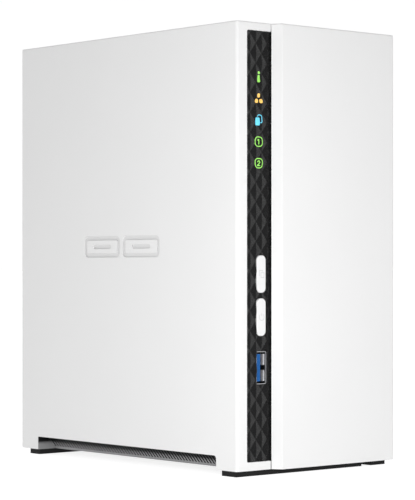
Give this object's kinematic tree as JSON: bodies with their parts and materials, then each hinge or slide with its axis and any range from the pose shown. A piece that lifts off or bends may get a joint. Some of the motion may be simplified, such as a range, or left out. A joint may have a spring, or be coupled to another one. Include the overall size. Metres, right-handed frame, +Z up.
{
  "type": "network attached storage",
  "caption": "Upright network storage box with a cover that slides forward, a faceted control strip with lit icons and sprung buttons, vents, a rear fan and sockets.",
  "frame": {"origin": "on the surface that the feet stand on, under the middle of the case", "axes": "+Z up, +X to the right seen from the front, +Y to the back"},
  "size_m": [0.0902, 0.1562, 0.1888],
  "materials": {
    "white_shell": "fine matt texture, white",
    "white_panel": "fine matt texture, white",
    "white_button": "satin white",
    "black_strip": "satin black with raised facets",
    "dark_base": "matt dark grey",
    "black_rubber": "matt rubber",
    "green_light": "lit green",
    "amber_light": "lit amber",
    "blue_light": "lit light blue",
    "socket_steel": "tinned sheet",
    "usb_blue": "blue moulding",
    "black_moulding": "black moulding",
    "white_moulding": "natural nylon",
    "wire_sleeve": "black sleeve",
    "board_green": "green solder mask",
    "chip_black": "moulded chip",
    "capacitor_can": "bright can",
    "sink_aluminium": "extruded",
    "cell_steel": "plated",
    "screw_steel": "nickel plated",
    "contact_gold": "gold plated",
    "cage_steel": "zinc coated sheet",
    "drive_cast": "cast, satin",
    "drive_sheet": "pressed",
    "bearing_bronze": "sintered bronze",
    "winding_copper": "enamelled copper wire",
    "magnet_ferrite": "ferrite",
    "shaft_steel": "ground"
  },
  "bodies": {
    "chassis": {"backplane": "board_green", "base_pan": "dark_base", "bay_lights": "green_light", "board_chips": "chip_black", "buzzer": "black_moulding", "capacitors": "capacitor_can", "cell_holder": "black_moulding", "coin_cell": "cell_steel", "control_strip": "black_strip", "copy_light": "blue_light", "drive_cage": "cage_steel", "drive_castings": "drive_cast", "drive_connectors": "black_moulding", "drive_lids_and_boards": "drive_sheet", "drive_screws": "screw_steel", "fan_bearing": "bearing_bronze", "fan_frame": "black_moulding", "fan_header": "white_moulding", "fan_plug": "white_moulding", "fan_screws": "screw_steel", "fan_stator": "winding_copper", "fan_wire": "wire_sleeve", "front_board": "board_green", "front_foot_bar": "black_rubber", "front_switches": "black_moulding", "front_usb_shell": "socket_steel", "front_usb_tongue": "usb_blue", "heat_sink": "sink_aluminium", "inductors": "chip_black", "inner_screws": "screw_steel", "left_shell": "white_shell", "light_shield": "black_strip", "link_connector": "black_moulding", "mainboard": "board_green", "network_contacts": "contact_gold", "network_jack_body": "black_moulding", "network_jack_shield": "socket_steel", "network_light": "amber_light", "power_inlet": "black_moulding", "power_inlet_pin": "contact_gold", "processor": "chip_black", "rear_foot_bar": "black_rubber", "rear_panel": "white_panel", "rear_screws": "screw_steel", "rear_usb_shells": "socket_steel", "rear_usb_tongues": "black_moulding", "reset_switch": "black_moulding", "status_leds": "white_moulding", "status_light": "green_light"},
    "cover": {"cover": "white_shell", "cover_vent_strip": "dark_base", "cover_feet": "black_rubber"},
    "copy_button": {"copy_button": "white_button", "copy_switch_plunger": "black_moulding"},
    "power_button": {"power_button": "white_button", "power_switch_plunger": "black_moulding"},
    "reset_button": {"reset_button": "black_moulding"},
    "fan_rotor": {"fan_impeller": "black_moulding", "fan_magnet": "magnet_ferrite", "fan_shaft": "shaft_steel"}
  },
  "joints": [
    {"name": "cover_slide", "type": "slide", "parent": "chassis", "child": "cover", "axis": [0, -1, 0], "range_m": [0, 0.012]},
    {"name": "copy_press", "type": "slide", "parent": "chassis", "child": "copy_button", "axis": [0, 1, 0], "range_m": [0, 0.0006], "stiffness_N_per_m": 2500, "springref_m": -0.0002},
    {"name": "power_press", "type": "slide", "parent": "chassis", "child": "power_button", "axis": [0, 1, 0], "range_m": [0, 0.0006], "stiffness_N_per_m": 2500, "springref_m": -0.0002},
    {"name": "reset_press", "type": "slide", "parent": "chassis", "child": "reset_button", "axis": [0, -1, 0], "range_m": [0, 0.0004], "stiffness_N_per_m": 2500, "springref_m": -0.0002},
    {"name": "fan_spin", "type": "hinge", "parent": "chassis", "child": "fan_rotor", "pos_m": [0.005, 0.06, 0.142], "axis": [0, 1, 0], "continuous": true}
  ]
}
